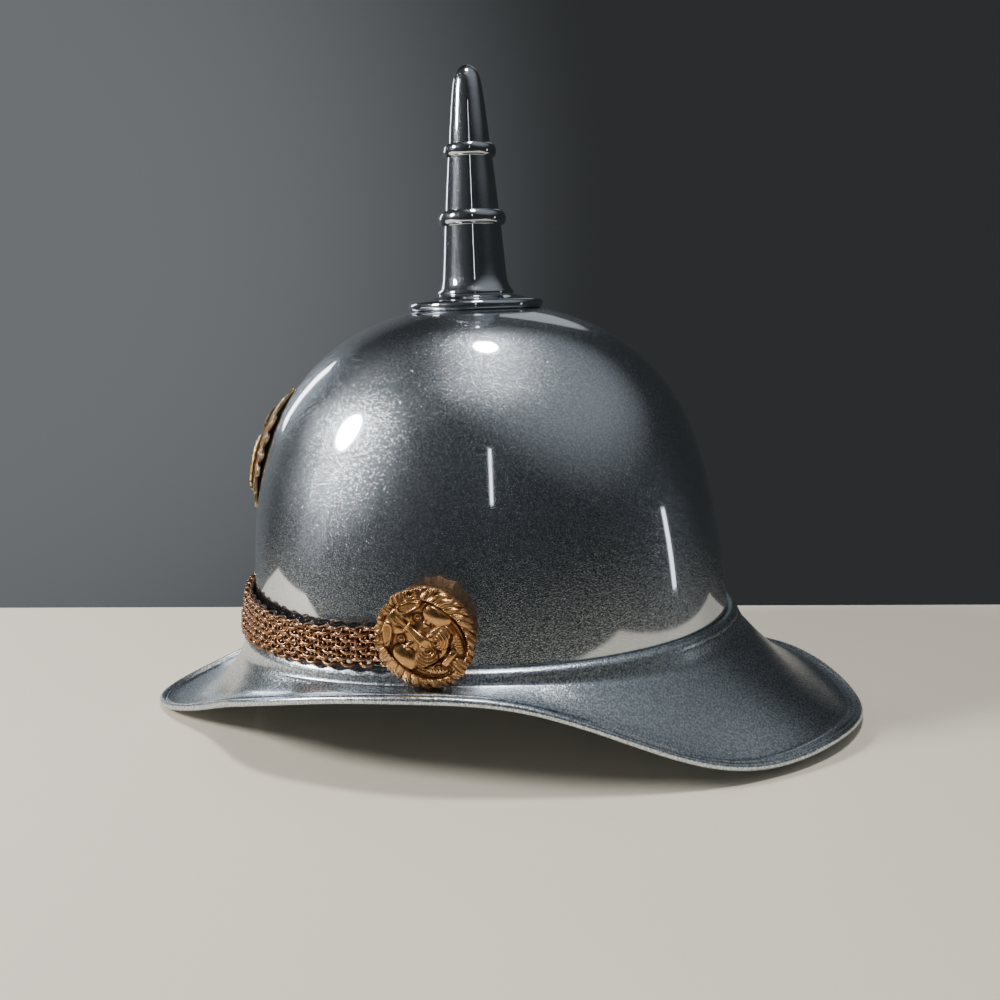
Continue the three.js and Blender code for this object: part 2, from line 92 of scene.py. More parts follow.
def make_piece(name, node, slot, material, points, faces, smooth=60):
    """Makes one finished mesh, facing out, that stands for a CAD node."""
    mesh = bpy.data.meshes.new(name)
    points = in_place(points)
    mesh.from_pydata(points.tolist(), [], [list(map(int, f)) for f in faces])
    corners = points[[[f[0], f[1], f[2]] for f in faces]]
    volume = np.einsum("ij,ij->i", corners[:, 0], np.cross(corners[:, 1], corners[:, 2])).sum()
    volume += sum(
        float(np.dot(points[f[0]], np.cross(points[f[2]], points[f[3]]))) for f in faces if len(f) == 4
    )
    if volume < 0:
        mesh.flip_normals()
    mesh.shade_smooth()
    mesh.set_sharp_from_angle(angle=math.radians(smooth))
    mesh.materials.append(material)
    piece = bpy.data.objects.new(name, mesh)
    bpy.context.scene.collection.objects.link(piece)
    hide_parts(node)
    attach(piece, "root")
    return piece


def ring_faces(rings, around, joined):
    """Quads between rings of points, the last ring joined to the first where the section is closed."""
    faces = []
    for r in range(rings if joined else rings - 1):
        low = r * around
        high = ((r + 1) % rings) * around
        for i in range(around):
            k = (i + 1) % around
            faces.append((low + i, low + k, high + k, high + i))
    return faces


def circle(radius, height, angles):
    return radius * np.cos(angles), radius * np.sin(angles)


def turned(profile, around, plan=circle):
    """Points and faces of a (radius, height) profile turned about the axis, where it starts and ends."""
    angles = np.linspace(0, 2 * np.pi, around, endpoint=False)
    middle = np.asarray(profile[1:-1])
    levels = np.repeat(middle[:, 1:], around, 1)
    rings = np.stack([*plan(middle[:, :1], middle[:, 1:], angles), levels], -1).reshape(-1, 3)
    faces = ring_faces(len(middle), around, False)
    first, last = len(rings), len(rings) + 1
    end = (len(middle) - 1) * around
    for i in range(around):
        k = (i + 1) % around
        faces.append((first, k, i))
        faces.append((last, end + i, end + k))
    points = np.vstack([rings, [(0, 0, profile[0][1])], [(0, 0, profile[-1][1])]])
    return points, faces


class Reading:
    """A value or colour in a material's tree. Arithmetic on it adds Math nodes."""

    def __init__(self, tree, socket):
        self.tree, self.socket = tree, socket

    def node(self, kind, settings=None, sockets=None, output=0):
        made = self.tree.nodes.new(kind)
        for name, value in (settings or {}).items():
            setattr(made, name, value)
        for name, value in (sockets or {}).items():
            if isinstance(value, Reading):
                self.tree.links.new(value.socket, made.inputs[name])
            else:
                made.inputs[name].default_value = value
        return Reading(self.tree, made.outputs[output])

    def math(self, operation, *others):
        values = dict(enumerate((self, *others)))
        return self.node("ShaderNodeMath", {"operation": operation}, values)

    def __add__(self, other):
        return self.math("ADD", other)

    def __radd__(self, other):
        return self.math("ADD", other)

    def __sub__(self, other):
        return self.math("SUBTRACT", other)

    def __rsub__(self, other):
        return (self * -1).math("ADD", other)

    def __mul__(self, other):
        return self.math("MULTIPLY", other)

    def __rmul__(self, other):
        return self.math("MULTIPLY", other)

    def clamp(self, low=0.0, high=1.0):
        return self.node("ShaderNodeClamp", {}, {"Value": self, "Min": low, "Max": high})

    def step(self, low, high):
        """0 below low, 1 above high, smooth between."""
        return self.node("ShaderNodeMapRange", {"interpolation_type": "SMOOTHSTEP"}, {
            "Value": self, "From Min": low, "From Max": high,
        })

    def noise(self, scale, detail=2.0, roughness=0.5):
        return self.node("ShaderNodeTexNoise", {}, {
            "Vector": self, "Scale": scale, "Detail": detail, "Roughness": roughness,
        })

    def mixed(self, first, second):
        """Mixes two colours by this value."""
        return self.node("ShaderNodeMix", {"data_type": "RGBA"}, {0: self, 6: first, 7: second}, 2)

    def bump(self, strength, distance):
        return self.node("ShaderNodeBump", {}, {"Strength": strength, "Distance": distance, "Height": self})


def start_material(name):
    """A new material, its place on the object, and its output node."""
    material = bpy.data.materials.new(name)
    material.use_nodes = True
    tree = material.node_tree
    tree.nodes.clear()
    output = tree.nodes.new("ShaderNodeOutputMaterial")
    coordinates = tree.nodes.new("ShaderNodeTexCoord")
    return material, Reading(tree, coordinates.outputs["Object"]), output


def chrome(name, haze, haze_roughness, mirror_roughness, tint):
    """Polished chrome under fine random scratches: a sharp mirror mixed with a hazy, sparkling one."""
    material, place, output = start_material(name)
    grain = place.noise(1900, 1, 0.5)
    speck = place.noise(1250, 1, 0.5)
    cloud = place.noise(22, 2, 0.5)
    dents = place.noise(16, 2, 0.5)
    mirror = place.node("ShaderNodeBsdfPrincipled", {}, {
        "Base Color": tint,
        "Metallic": 1.0,
        "Roughness": mirror_roughness + 0.02 * cloud,
        "Normal": dents.bump(0.012, 0.002),
    })
    scratched = place.node("ShaderNodeBsdfPrincipled", {}, {
        "Base Color": speck.step(0.34, 0.66).mixed((0.30, 0.35, 0.42, 1), (0.88, 0.95, 1.0, 1)),
        "Metallic": 1.0,
        "Roughness": haze_roughness + 0.05 * (cloud - 0.5),
        "Normal": grain.bump(0.6, 0.00027),
    })
    share = (haze * (0.55 + 0.9 * speck) + 0.05 * haze * (cloud - 0.5)).clamp(0.01, 0.97)
    blend = place.node("ShaderNodeMixShader", {}, {0: share, 1: mirror, 2: scratched})
    place.tree.links.new(blend.socket, output.inputs["Surface"])
    return material


def crown_share(radius):
    """The dome's width as a share of its length: oval below, round at the crown."""
    rounded = np.clip((CROWN_OVAL - radius / DOME_HALF_LENGTH) / (CROWN_OVAL - CROWN_ROUND), 0, 1)
    oval = DOME_HALF_WIDTH / DOME_HALF_LENGTH
    return oval + (1 - oval) * rounded ** 2 * (3 - 2 * rounded)


def frontness(height):
    """The part of the front's shortening and squaring at a height: all at the ring, none higher up."""
    return 1 - np.clip(np.maximum(height, 0) / (FRONT_TOP * DOME_HEIGHT), 0, 1) ** 1.6


def squareness(front):
    """The power of the oval's front half: 2 is a plain oval, and it eases to that without a crease."""
    return 2 + FRONT_SQUARE * front ** 2 / (front + 0.15 * (1 - front))


def oval_point(half_length, half_width, front, angles):
    """A point on an oval whose front, at -X, is shortened and squared by its frontness."""
    ahead = np.cos(angles) < 0
    power = np.where(ahead, 2 / squareness(front), 1)
    x = (half_length - np.where(ahead, FRONT_SHORT * front ** 2, 0)) * np.abs(np.cos(angles)) ** power
    y = half_width * np.sign(np.sin(angles)) * np.abs(np.sin(angles)) ** power
    return np.where(ahead, -x, x), y


def dome_plan(radius, height, angles):
    return oval_point(radius, radius * crown_share(radius), frontness(height), angles)


dome_chrome = chrome("dome_chrome", 0.29, 0.26, 0.05, (0.60, 0.62, 0.65, 1))
profile_rows = np.array([(out * DOME_HALF_LENGTH, up * DOME_HEIGHT) for up, out in DOME_PROFILE])
across_crown = np.vstack([profile_rows, profile_rows[-2::-1] * (-1, 1)])
outer = spline(across_crown, np.linspace(0, len(profile_rows) - 1, 131))[::-1]
outer[0, 0] = 0
inner = profile_rows * ((DOME_HALF_LENGTH - SHEET) / DOME_HALF_LENGTH, (DOME_HEIGHT - SHEET) / DOME_HEIGHT)
inner = spline(inner, np.linspace(0, len(inner) - 1, 53))
inner[-1, 0] = 0
skirt = [
    (DOME_HALF_LENGTH, -DOME_SKIRT + 0.3),
    (DOME_HALF_LENGTH - 0.3, -DOME_SKIRT),
    (DOME_HALF_LENGTH - SHEET + 0.3, -DOME_SKIRT),
    (DOME_HALF_LENGTH - SHEET, -DOME_SKIRT + 0.3),
]
dome_rows = np.vstack([outer, skirt, inner])
dome_points, dome_faces = turned(dome_rows, 320, dome_plan)
make_piece("dome_shell", "dome", "shell", dome_chrome, dome_points, dome_faces)


# The brim: one spun and hammered sheet, chromed, soldered to the dome's skirt.
# A round shoulder laps the dome, and the sheet flares out to the peak, the side arches and the neck guard.
# Its edge is turned over a wire, with a fine raised line inside it.

SHOULDER_OUT = 4.6
SHOULDER_TOP = 0.8
SHOULDER_FOOT = -4.5
BRIM_FRONT = 159.4
BRIM_REAR = 169.7
BRIM_DROP = 46.4
EDGE_BEAD_RADIUS = 1.7
EDGE_RIDGE = 0.5

BRIM_EDGE = [
    (0, 1.000, 1.000, 1.65), (20, 0.952, 0.905, 1.65), (40, 0.826, 0.885, 1.60), (60, 0.706, 0.521, 1.50),
    (80, 0.650, 0.190, 1.40), (100, 0.650, 0.110, 1.40), (120, 0.676, 0.177, 1.60), (140, 0.728, 0.361, 2.10),
    (160, 0.785, 0.676, 2.60), (180, BRIM_FRONT / BRIM_REAR, 0.900, 2.75),
]


def oval_reach(angle, out):
    """How far the dome's oval, widened by out, lies from the axis in a direction."""
    ahead = np.cos(angle) < 0
    power = np.where(ahead, 2 + FRONT_SQUARE, 2)
    along = np.abs(np.cos(angle)) / (DOME_HALF_LENGTH + out - np.where(ahead, FRONT_SHORT, 0))
    across = np.abs(np.sin(angle)) / (DOME_HALF_WIDTH + out)
    return (along ** power + across ** power) ** (-1 / power)


def brim_section(angle, edge_row):
    reach, drop, flare = edge_row
    wall = oval_reach(angle, GAP)
    shoulder = oval_reach(angle, SHOULDER_OUT)
    edge, low = reach * BRIM_REAR, -drop * BRIM_DROP
    keys = [
        (wall, SHOULDER_TOP - 0.1),
        (wall + 0.35 * SHOULDER_OUT, SHOULDER_TOP),
        (wall + 0.75 * SHOULDER_OUT, SHOULDER_TOP - 1.1),
        (shoulder - 0.1, SHOULDER_TOP - 3),
        (shoulder + 0.012 * (edge - shoulder), SHOULDER_FOOT + 1.0),
    ]
    for span in (0.06, 0.12, 0.20, 0.36, 0.56, 0.80):
        fall = 1 - (1 - span) ** flare
        keys.append((shoulder + span * (edge - shoulder), SHOULDER_FOOT + fall * (low - SHOULDER_FOOT)))
    before = np.array(keys[-1])
    along = (np.array([edge, low]) - before)
    along /= np.hypot(*along)
    across = np.array([-along[1], along[0]])
    tip = np.array([edge, low])
    keys.append(tip - 5.2 * along)
    face = spline(keys, np.linspace(0, len(keys) - 1, 48))
    lip = [
        tip - back * along + rise * across
        for back, rise in (
            (4.7, 0.02), (4.5, 0.30), (4.2, EDGE_RIDGE), (3.9, 0.34), (3.5, -0.05), (3.1, -0.12),
        )
    ]
    for turn in np.radians(np.linspace(128, -128, 17)):
        lip.append(
            tip - EDGE_BEAD_RADIUS * (1 - math.cos(turn)) * along
            + (EDGE_BEAD_RADIUS * math.sin(turn) - SHEET / 2) * across
        )
    lip.append(tip - 3.4 * along - SHEET * across)
    slope = np.gradient(face, axis=0)
    slope /= np.hypot(slope[:, 0], slope[:, 1])[:, None]
    under = face + SHEET * np.stack([slope[:, 1], -slope[:, 0]], -1)
    under = under[10::2][::-1]
    top = [
        (wall + 0.5 * SHOULDER_OUT, SHOULDER_TOP - SHEET - 0.8),
        (wall + 0.3 * SHOULDER_OUT, SHOULDER_TOP - SHEET),
        (wall, SHOULDER_TOP - 0.1 - SHEET),
    ]
    return np.vstack([face, lip, under, top])


BRIM_AROUND = 384
angles = np.linspace(0, 2 * np.pi, BRIM_AROUND, endpoint=False)
edge_rows = np.array([row[1:] for row in BRIM_EDGE])
round_again = np.vstack([edge_rows[3:0:-1], edge_rows, edge_rows[-2:0:-1], edge_rows[:4]])
edge_at = spline(round_again, 3 + np.degrees(angles) / 20)
sections = np.array([brim_section(a, row) for a, row in zip(angles, edge_at)])
brim_points = np.stack([
    sections[..., 0] * np.cos(angles)[:, None],
    sections[..., 0] * np.sin(angles)[:, None],
    sections[..., 1],
], -1)
brim_points = brim_points.transpose(1, 0, 2).reshape(-1, 3)
brim_faces = ring_faces(sections.shape[1], BRIM_AROUND, True)
brim_chrome = chrome("brim_chrome", 0.55, 0.28, 0.20, (0.45, 0.48, 0.51, 1))
make_piece("brim_sheet", "brim", "shell", brim_chrome, brim_points, brim_faces, 50)


# The spike plate and the spike: a pressed disc with a round rim, and a turned spike in three stages.
# Both are chromed and keep their mirror finish, because nobody handles them.
# The spike screws down through the plate into the crown.

PLATE_RADIUS = 29.9
PLATE_RIM = 4.1
PLATE_RISE = 2.2
SPIKE_HEIGHT = 96.0
SPIKE_BEAD_RADIUS = 14.8

plate_foot = float(np.interp(-PLATE_RADIUS, -outer[::-1, 0], outer[::-1, 1])) + GAP
plate_top = plate_foot + PLATE_RIM
half_rim = PLATE_RIM / 2
rim = [
    (PLATE_RADIUS - half_rim + half_rim * math.cos(a), plate_foot + half_rim + half_rim * math.sin(a))
    for a in np.radians(np.linspace(90, -90, 19))
]
plate_rows = [
    (0, plate_top + PLATE_RISE),
    (0.60 * PLATE_RADIUS, plate_top + PLATE_RISE),
    (0.62 * PLATE_RADIUS, plate_top + PLATE_RISE - 0.05),
    (0.66 * PLATE_RADIUS, plate_top + PLATE_RISE - 0.45),
    (0.72 * PLATE_RADIUS, plate_top + 1.15),
    (0.78 * PLATE_RADIUS, plate_top + 0.55),
    (0.84 * PLATE_RADIUS, plate_top + 0.15),
    *rim,
    (0.86 * PLATE_RADIUS, plate_foot + 0.6),
    (0.40 * PLATE_RADIUS, DOME_HEIGHT + GAP),
    (0, DOME_HEIGHT + GAP),
]
mirror_chrome = chrome("mirror_chrome", 0.06, 0.20, 0.03, (0.58, 0.60, 0.63, 1))
make_piece("plate_disc", "spike_plate", "shell", mirror_chrome, *turned(plate_rows, 160), 50)

SPIKE_PROFILE = [
    (0.000, 1.130), (0.006, 1.150), (0.014, 1.145), (0.026, 1.080), (0.040, 1.030), (0.060, 0.988),
    (0.085, 0.960), (0.140, 0.930), (0.220, 0.890), (0.290, 0.857), (0.306, 0.850), (0.308, 0.900),
    (0.312, 0.945), (0.320, 0.980), (0.332, 1.000), (0.344, 0.998), (0.356, 0.975), (0.366, 0.930),
    (0.371, 0.880), (0.373, 0.800), (0.430, 0.770), (0.510, 0.722), (0.590, 0.670), (0.604, 0.663),
    (0.606, 0.705), (0.611, 0.740), (0.620, 0.768), (0.632, 0.776), (0.644, 0.768), (0.653, 0.742),
    (0.659, 0.705), (0.662, 0.605), (0.700, 0.588), (0.760, 0.548), (0.830, 0.500), (0.890, 0.452),
    (0.930, 0.410), (0.955, 0.365), (0.975, 0.295), (0.990, 0.195), (0.997, 0.110), (1.000, 0.000),
]
spike_foot = plate_top + PLATE_RISE + GAP
spike_rows = [(0, spike_foot)] + [
    (out * SPIKE_BEAD_RADIUS, spike_foot + up * SPIKE_HEIGHT) for up, out in SPIKE_PROFILE
]
make_piece("spike_turning", "spike", "shell", mirror_chrome, *turned(spike_rows, 160), 40)


# The badge: a rayed star stamped from brass sheet and bowed to the dome's front.
# A leafed ring, a plain round boss inside the ring and a small fan above it are soldered on.
# Its ray tips stand close to the dome.

BADGE_CENTRE_Z = 74.0
BADGE_HALF_WIDTH = 21.5
BADGE_HALF_HEIGHT = 29.0
BADGE_STAND_OFF = 0.9
BADGE_SHEET = 1.2
BADGE_BOW = 2.8
STAR_RAYS = 16
STAR_AROUND = 384
STAR_RINGS = 40
STAR_BRIGHT_RINGS = 2


def on_front(across, height, out):
    """Points on the dome's front, by sideways distance and height, pushed out from its wall."""
    def place(y, z):
        half_length = np.interp(z, outer[::-1, 1], outer[::-1, 0])
        power = squareness(frontness(z))
        inside = np.clip(1 - np.abs(y / (half_length * crown_share(half_length))) ** power, 0, None)
        ahead = (half_length - FRONT_SHORT * frontness(z) ** 2) * inside ** (1 / power)
        return np.stack([-ahead, y, z + 0 * y], -1)

    here = place(across, height)
    out_way = np.cross(place(across, height + 1) - here, place(across + 1, height) - here)
    out_way /= np.linalg.norm(out_way, axis=-1, keepdims=True)
    out_way *= -np.sign(out_way[..., :1])
    return here + out_way * np.asarray(out)[..., None]


def on_badge(x, y, out):
    bow = np.clip(1 - (x / BADGE_HALF_WIDTH) ** 2 - (y / BADGE_HALF_HEIGHT) ** 2, 0, None)
    return on_front(x, BADGE_CENTRE_Z + 0.97 * y, BADGE_STAND_OFF + BADGE_BOW * bow + out)


def patch(outline, face, back, around, rings, back_shares=(0.97, 0.6)):
    """A raised patch: its outline by angle, and two functions that place its face and its back."""
    angles = np.linspace(0, 2 * np.pi, around, endpoint=False)
    reach = outline(angles)
    flat = np.stack([reach * np.cos(angles), reach * np.sin(angles)], -1)
    shares = np.linspace(1 / rings, 1, rings)
    rows = [face(*(flat * share).T) for share in shares] + [back(*(flat * share).T) for share in back_shares]
    faces = ring_faces(len(rows), around, False)
    middle = np.zeros(1)
    points = np.vstack([*rows, face(middle, middle), back(middle, middle)])
    top, bottom = len(points) - 2, len(points) - 1
    end = (len(rows) - 1) * around
    for i in range(around):
        k = (i + 1) % around
        faces.append((top, k, i))
        faces.append((bottom, end + i, end + k))
    return points, faces


def brass(name, colour, dark, roughness, grain):
    """Cast or stamped brass: bright on raised, rubbed faces; darker, browner and rougher where painted shade
    is laid into recesses, onto backs and between the chain's rings, on the bosses also where polish and grime
    stay in the recesses, with random clouds of grime over all.
    """
    material, place, output = start_material(name)
    cloud = place.noise(120 * grain, 3, 0.6)
    fine = place.noise(900 * grain, 3, 0.6)
    # A per-point value of painted shade, mixed with random grime clouds, darkens the colour.
    painted_shade = place.node("ShaderNodeAttribute", {"attribute_name": "painted_shade"}, {}, 2)
    shade_and_dirt = (painted_shade + (cloud - 0.5) * 0.5).clamp()
    metal = place.node("ShaderNodeBsdfPrincipled", {}, {
        "Base Color": shade_and_dirt.mixed(colour, dark),
        "Metallic": 1.0 - shade_and_dirt * 0.35,
        "Roughness": (roughness + 0.30 * shade_and_dirt + 0.12 * (fine - 0.5)).clamp(),
        "Normal": fine.bump(0.12, 0.0004),
    })
    place.tree.links.new(metal.socket, output.inputs["Surface"])
    return material


badge_brass = brass("badge_brass", (0.80, 0.60, 0.33, 1), (0.20, 0.12, 0.06, 1), 0.20, 1.0)


def star_outline(angles):
    oval = 1 / np.hypot(np.cos(angles) / BADGE_HALF_WIDTH, np.sin(angles) / BADGE_HALF_HEIGHT)
    return oval * (0.80 + 0.20 * np.abs(np.cos(STAR_RAYS / 2 * angles)) ** 1.5)


def ray_relief(x, y):
    reach = np.hypot(x / BADGE_HALF_WIDTH, y / BADGE_HALF_HEIGHT)
    around = np.arctan2(y, x)
    rays = 0.30 * np.cos(STAR_RAYS * around) * np.clip(reach * 2, 0, 1)
    return rays + 0.10 * np.cos(4 * STAR_RAYS * around) * (reach > 0.45)


star_points, star_faces = patch(
    star_outline,
    lambda x, y: on_badge(x, y, BADGE_SHEET + ray_relief(x, y)),
    lambda x, y: on_badge(x, y, 0 * x),
    STAR_AROUND, STAR_RINGS,
)
star = make_piece("badge_rays", "badge_star", "badge", badge_brass, star_points, star_faces, 40)
# Painted shade: the star's face is darkened except its outer rings, which are left bright as the lit rim, and
# its back and middle are darker still.
star_shade = np.full(len(star_points), 0.9)
shaded_rings = np.arange(STAR_RINGS) < STAR_RINGS - STAR_BRIGHT_RINGS
star_shade[:STAR_AROUND * STAR_RINGS] = np.repeat(np.where(shaded_rings, 0.75, 0.0), STAR_AROUND)
star.data.attributes.new("painted_shade", "FLOAT", "POINT").data.foreach_set("value", star_shade)

WREATH_RADIUS = 10.5
WREATH_DOWN = 6.5
WREATH_LEAVES = 18
WREATH_AROUND = 288
WREATH_SIDES = 20
star_face = BADGE_SHEET + 0.25 + GAP
turn, section = np.meshgrid(
    np.linspace(0, 2 * np.pi, WREATH_AROUND, endpoint=False),
    np.linspace(0, 2 * np.pi, WREATH_SIDES, endpoint=False),
)
leaf = (turn * WREATH_LEAVES / (2 * np.pi) + 0.10 * np.cos(section) * 3) % 1
thick = 1.55 + 0.75 * np.sqrt(np.clip(1 - leaf, 0, 1)) + 0.12 * np.cos(turn * (4 * WREATH_LEAVES))
reach = WREATH_RADIUS + thick * np.cos(section)
wreath_points = on_badge(
    reach * np.cos(turn),
    reach * np.sin(turn) - WREATH_DOWN,
    star_face + 0.95 + 0.45 * thick * np.sin(section),
).reshape(-1, 3)
wreath_faces = ring_faces(WREATH_SIDES, WREATH_AROUND, True)
make_piece("wreath_leaves", "badge_wreath", "badge", badge_brass, wreath_points, wreath_faces, 50)

round_radius = 0.70 * WREATH_RADIUS


def round_rise(x, y):
    reach = np.hypot(x, y) / round_radius
    edge_line = np.exp(-((reach - 0.86) / 0.05) ** 2)
    return 0.5 + 1.5 * np.sqrt(np.clip(1.02 - reach ** 2, 0, None)) + 0.18 * edge_line


make_piece(
    "round_boss", "badge_boss", "badge", badge_brass,
    *patch(lambda a: round_radius + 0 * a,
           lambda x, y: on_badge(x, y - WREATH_DOWN, star_face + round_rise(x, y)),
           lambda x, y: on_badge(x, y - WREATH_DOWN, star_face + 0 * x), 96, 24), 50,
)

CREST_RADIUS = 6.2
CREST_UP = 13.5
CREST_RAYS = 7


def crest_rise(x, y):
    reach = np.hypot(x, y) / CREST_RADIUS
    around = np.arctan2(y, x) - math.pi / 2
    return 1.9 - 0.9 * reach ** 2 - 0.28 * np.clip(reach, 0, 1) * np.abs(np.sin(CREST_RAYS / 2 * around)) ** 4


make_piece(
    "crest_fan", "badge_crest", "badge", badge_brass,
    *patch(lambda a: CREST_RADIUS * (1 - 0.12 * np.abs(np.sin(CREST_RAYS / 2 * (a - math.pi / 2)))),
           lambda x, y: on_badge(x, y + CREST_UP, star_face + crest_rise(x, y)),
           lambda x, y: on_badge(x, y + CREST_UP, star_face + 0 * x), 112, 20), 50,
)


# The chin chain: six rows of brass wire rings, each row a chain, laced to the next row by smaller rings.
# It is widest at the chin and narrows to the bosses, and is worn up round the front on the brim's shoulder.

CHAIN_THICKNESS = 6.4
CHAIN_MAX_HEIGHT = 18.0
CHAIN_END_ANGLE = 82.0
CHAIN_ROWS = 6
LINK_PITCH = 4.1
CHAIN_ROUTE = [
    (0.00, 1.00, 0.0, 3.2), (0.20, 1.00, 0.0, 3.2), (0.39, 0.97, 0.0, 2.6),
    (0.56, 0.91, 0.0, 1.4), (0.76, 0.86, 0.4, 0.4), (1.00, 0.87, 2.4, 0.0),
]

# The near-black second colour is the painted shade between and behind the rings.
link_brass = brass("link_brass", (0.33, 0.175, 0.095, 1), (0.018, 0.010, 0.008, 1), 0.24, 2.0)


def ring_tree(name, material):
    """A node tree that sets a wire ring on every point, turned and sized by the point's attributes."""
    tree = bpy.data.node_groups.new(name, "GeometryNodeTree")
    sockets = {}
    tree.interface.new_socket("Points", in_out="INPUT", socket_type="NodeSocketGeometry")
    for label, value in (("Half length", 1.0), ("Half width", 0.6), ("Wire radius", 0.2)):
        item = tree.interface.new_socket(label, in_out="INPUT", socket_type="NodeSocketFloat")
        item.default_value = value
        sockets[label] = item.identifier
    tree.interface.new_socket("Links", in_out="OUTPUT", socket_type="NodeSocketGeometry")
    start = tree.nodes.new("NodeGroupInput")
    end = tree.nodes.new("NodeGroupOutput")

    def node(kind, links, **settings):
        made = tree.nodes.new(kind)
        for key, value in settings.items():
            setattr(made, key, value)
        for key, value in links.items():
            if hasattr(value, "is_output"):
                tree.links.new(value, made.inputs[key])
            else:
                made.inputs[key].default_value = value
        return made

    wire = node("GeometryNodeCurvePrimitiveCircle", {"Resolution": 12, "Radius": 1.0})
    size = node("ShaderNodeCombineXYZ", {
        "X": start.outputs["Half length"], "Y": start.outputs["Half width"], "Z": 1.0,
    })
    oval = node("GeometryNodeTransform", {"Geometry": wire.outputs["Curve"], "Scale": size.outputs["Vector"]})
    section = node("GeometryNodeCurvePrimitiveCircle", {
        "Resolution": 5, "Radius": start.outputs["Wire radius"],
    })
    ring = node("GeometryNodeCurveToMesh", {
        "Curve": oval.outputs["Geometry"], "Profile Curve": section.outputs["Curve"],
    })
    turn = node("GeometryNodeInputNamedAttribute", {"Name": "turn"}, data_type="FLOAT_VECTOR")
    scale = node("GeometryNodeInputNamedAttribute", {"Name": "size"}, data_type="FLOAT")
    laid = node("GeometryNodeInstanceOnPoints", {
        "Points": start.outputs["Points"], "Instance": ring.outputs["Mesh"],
        "Rotation": turn.outputs["Attribute"], "Scale": scale.outputs["Attribute"],
    })
    real = node("GeometryNodeRealizeInstances", {"Geometry": laid.outputs["Instances"]})
    smooth = node("GeometryNodeSetShadeSmooth", {"Geometry": real.outputs["Geometry"]})
    painted = node("GeometryNodeSetMaterial", {"Geometry": smooth.outputs["Geometry"], "Material": material})
    tree.links.new(painted.outputs["Geometry"], end.inputs["Links"])
    return tree, sockets


def lay_rings(name, tree, sockets, spots, sizes, ring):
    """Runs the tree on a cloud of points and returns the finished mesh."""
    mesh = bpy.data.meshes.new(name)
    mesh.from_pydata([s[0] for s in spots], [], [])
    turns = np.ravel([s[1] for s in spots])
    mesh.attributes.new("turn", "FLOAT_VECTOR", "POINT").data.foreach_set("vector", turns)
    mesh.attributes.new("size", "FLOAT", "POINT").data.foreach_set("value", np.ravel(sizes))
    cloud = bpy.data.objects.new(name, mesh)
    bpy.context.scene.collection.objects.link(cloud)
    modifier = cloud.modifiers.new("rings", "NODES")
    modifier.node_group = tree
    for label, value in ring.items():
        modifier[sockets[label]] = value
    graph = bpy.context.evaluated_depsgraph_get()
    made = bpy.data.meshes.new_from_object(cloud.evaluated_get(graph))
    bpy.data.objects.remove(cloud)
    return made


tip_turn = Matrix.Rotation(FORWARD_TIP, 3, "Y")
route = np.array(CHAIN_ROUTE)
fine_angles = np.radians(np.linspace(-CHAIN_END_ANGLE, CHAIN_END_ANGLE, 2001))
middle_out = GAP + 0.66 * CHAIN_THICKNESS


def on_ring(angle, out, height):
    """A point at an angle from the front, outside the dome's ring."""
    x, y = oval_point(DOME_HALF_LENGTH + out, DOME_HALF_WIDTH + out, 1.0, np.pi - angle)
    return Vector((float(x), float(y), height))


path = np.array([on_ring(angle, middle_out, 0.0) for angle in fine_angles])
walked = np.concatenate([[0], np.cumsum(np.hypot(*np.diff(path[:, :2], axis=0).T))])
link_count = int(walked[-1] / LINK_PITCH)
row_spots, row_sizes, lace_spots, lace_sizes = [], [], [], []
wobble = np.random.default_rng(7)
for row in range(CHAIN_ROWS):
    for step in range(link_count):
        for lace in (False, True):
            if lace and row == CHAIN_ROWS - 1:
                continue
            along = (step + 0.5 * (row % 2) + (0.5 if lace else 0.0) + 0.3) * LINK_PITCH
            angle = float(np.interp(along, walked, fine_angles))
            share = abs(angle) / math.radians(CHAIN_END_ANGLE)
            reading = spline(route[:, 1:], [np.interp(share, route[:, 0], range(len(route)))])[0]
            height, lift, lean_in = float(reading[0]) * CHAIN_MAX_HEIGHT, float(reading[1]), float(reading[2])
            up_share = (row + (1.0 if lace else 0.5)) / CHAIN_ROWS
            level = SHOULDER_TOP + GAP + lift + 0.5 + up_share * (height - 1.0)
            ahead, behind = on_ring(angle + 0.01, middle_out, 0.0), on_ring(angle - 0.01, middle_out, 0.0)
            tangent = (ahead - behind).normalized()
            outward = Vector((-tangent.y, tangent.x, 0))
            if outward.dot(on_ring(angle, middle_out, 0.0)) < 0:
                outward = -outward
            upward = (Vector((0, 0, height)) - outward * lean_in).normalized()
            jitter = wobble.normal(0, 1, 4)
            lean = math.radians((48 if step % 2 else -42) + 5 * jitter[0])
            out = middle_out - lean_in * up_share
            if lace:
                long_way, flat_way = upward, outward
            else:
                long_way = (tangent + upward * 0.05 * float(jitter[1])).normalized()
                flat_way = upward * math.cos(lean) + outward * math.sin(lean)
                out += 0.15 * float(jitter[2])
            flat_way = (flat_way - long_way * flat_way.dot(long_way)).normalized()
            turn_matrix = tip_turn @ Matrix((long_way, flat_way, long_way.cross(flat_way))).transposed()
            centre = in_place(tuple(on_ring(angle, out, level + 0.08 * float(jitter[3]))))
            size = 0.55 + 0.45 * height / CHAIN_MAX_HEIGHT
            (lace_spots if lace else row_spots).append((centre.tolist(), tuple(turn_matrix.to_euler())))
            (lace_sizes if lace else row_sizes).append(size)
links, link_sockets = ring_tree("wire_rings", link_brass)
row_mesh = lay_rings("rows", links, link_sockets, row_spots, row_sizes, {
    "Half length": 0.0031, "Half width": 0.0019, "Wire radius": 0.00082,
})
lace_mesh = lay_rings("laces", links, link_sockets, lace_spots, lace_sizes, {
    "Half length": 0.0020, "Half width": 0.0014, "Wire radius": 0.00060,
})
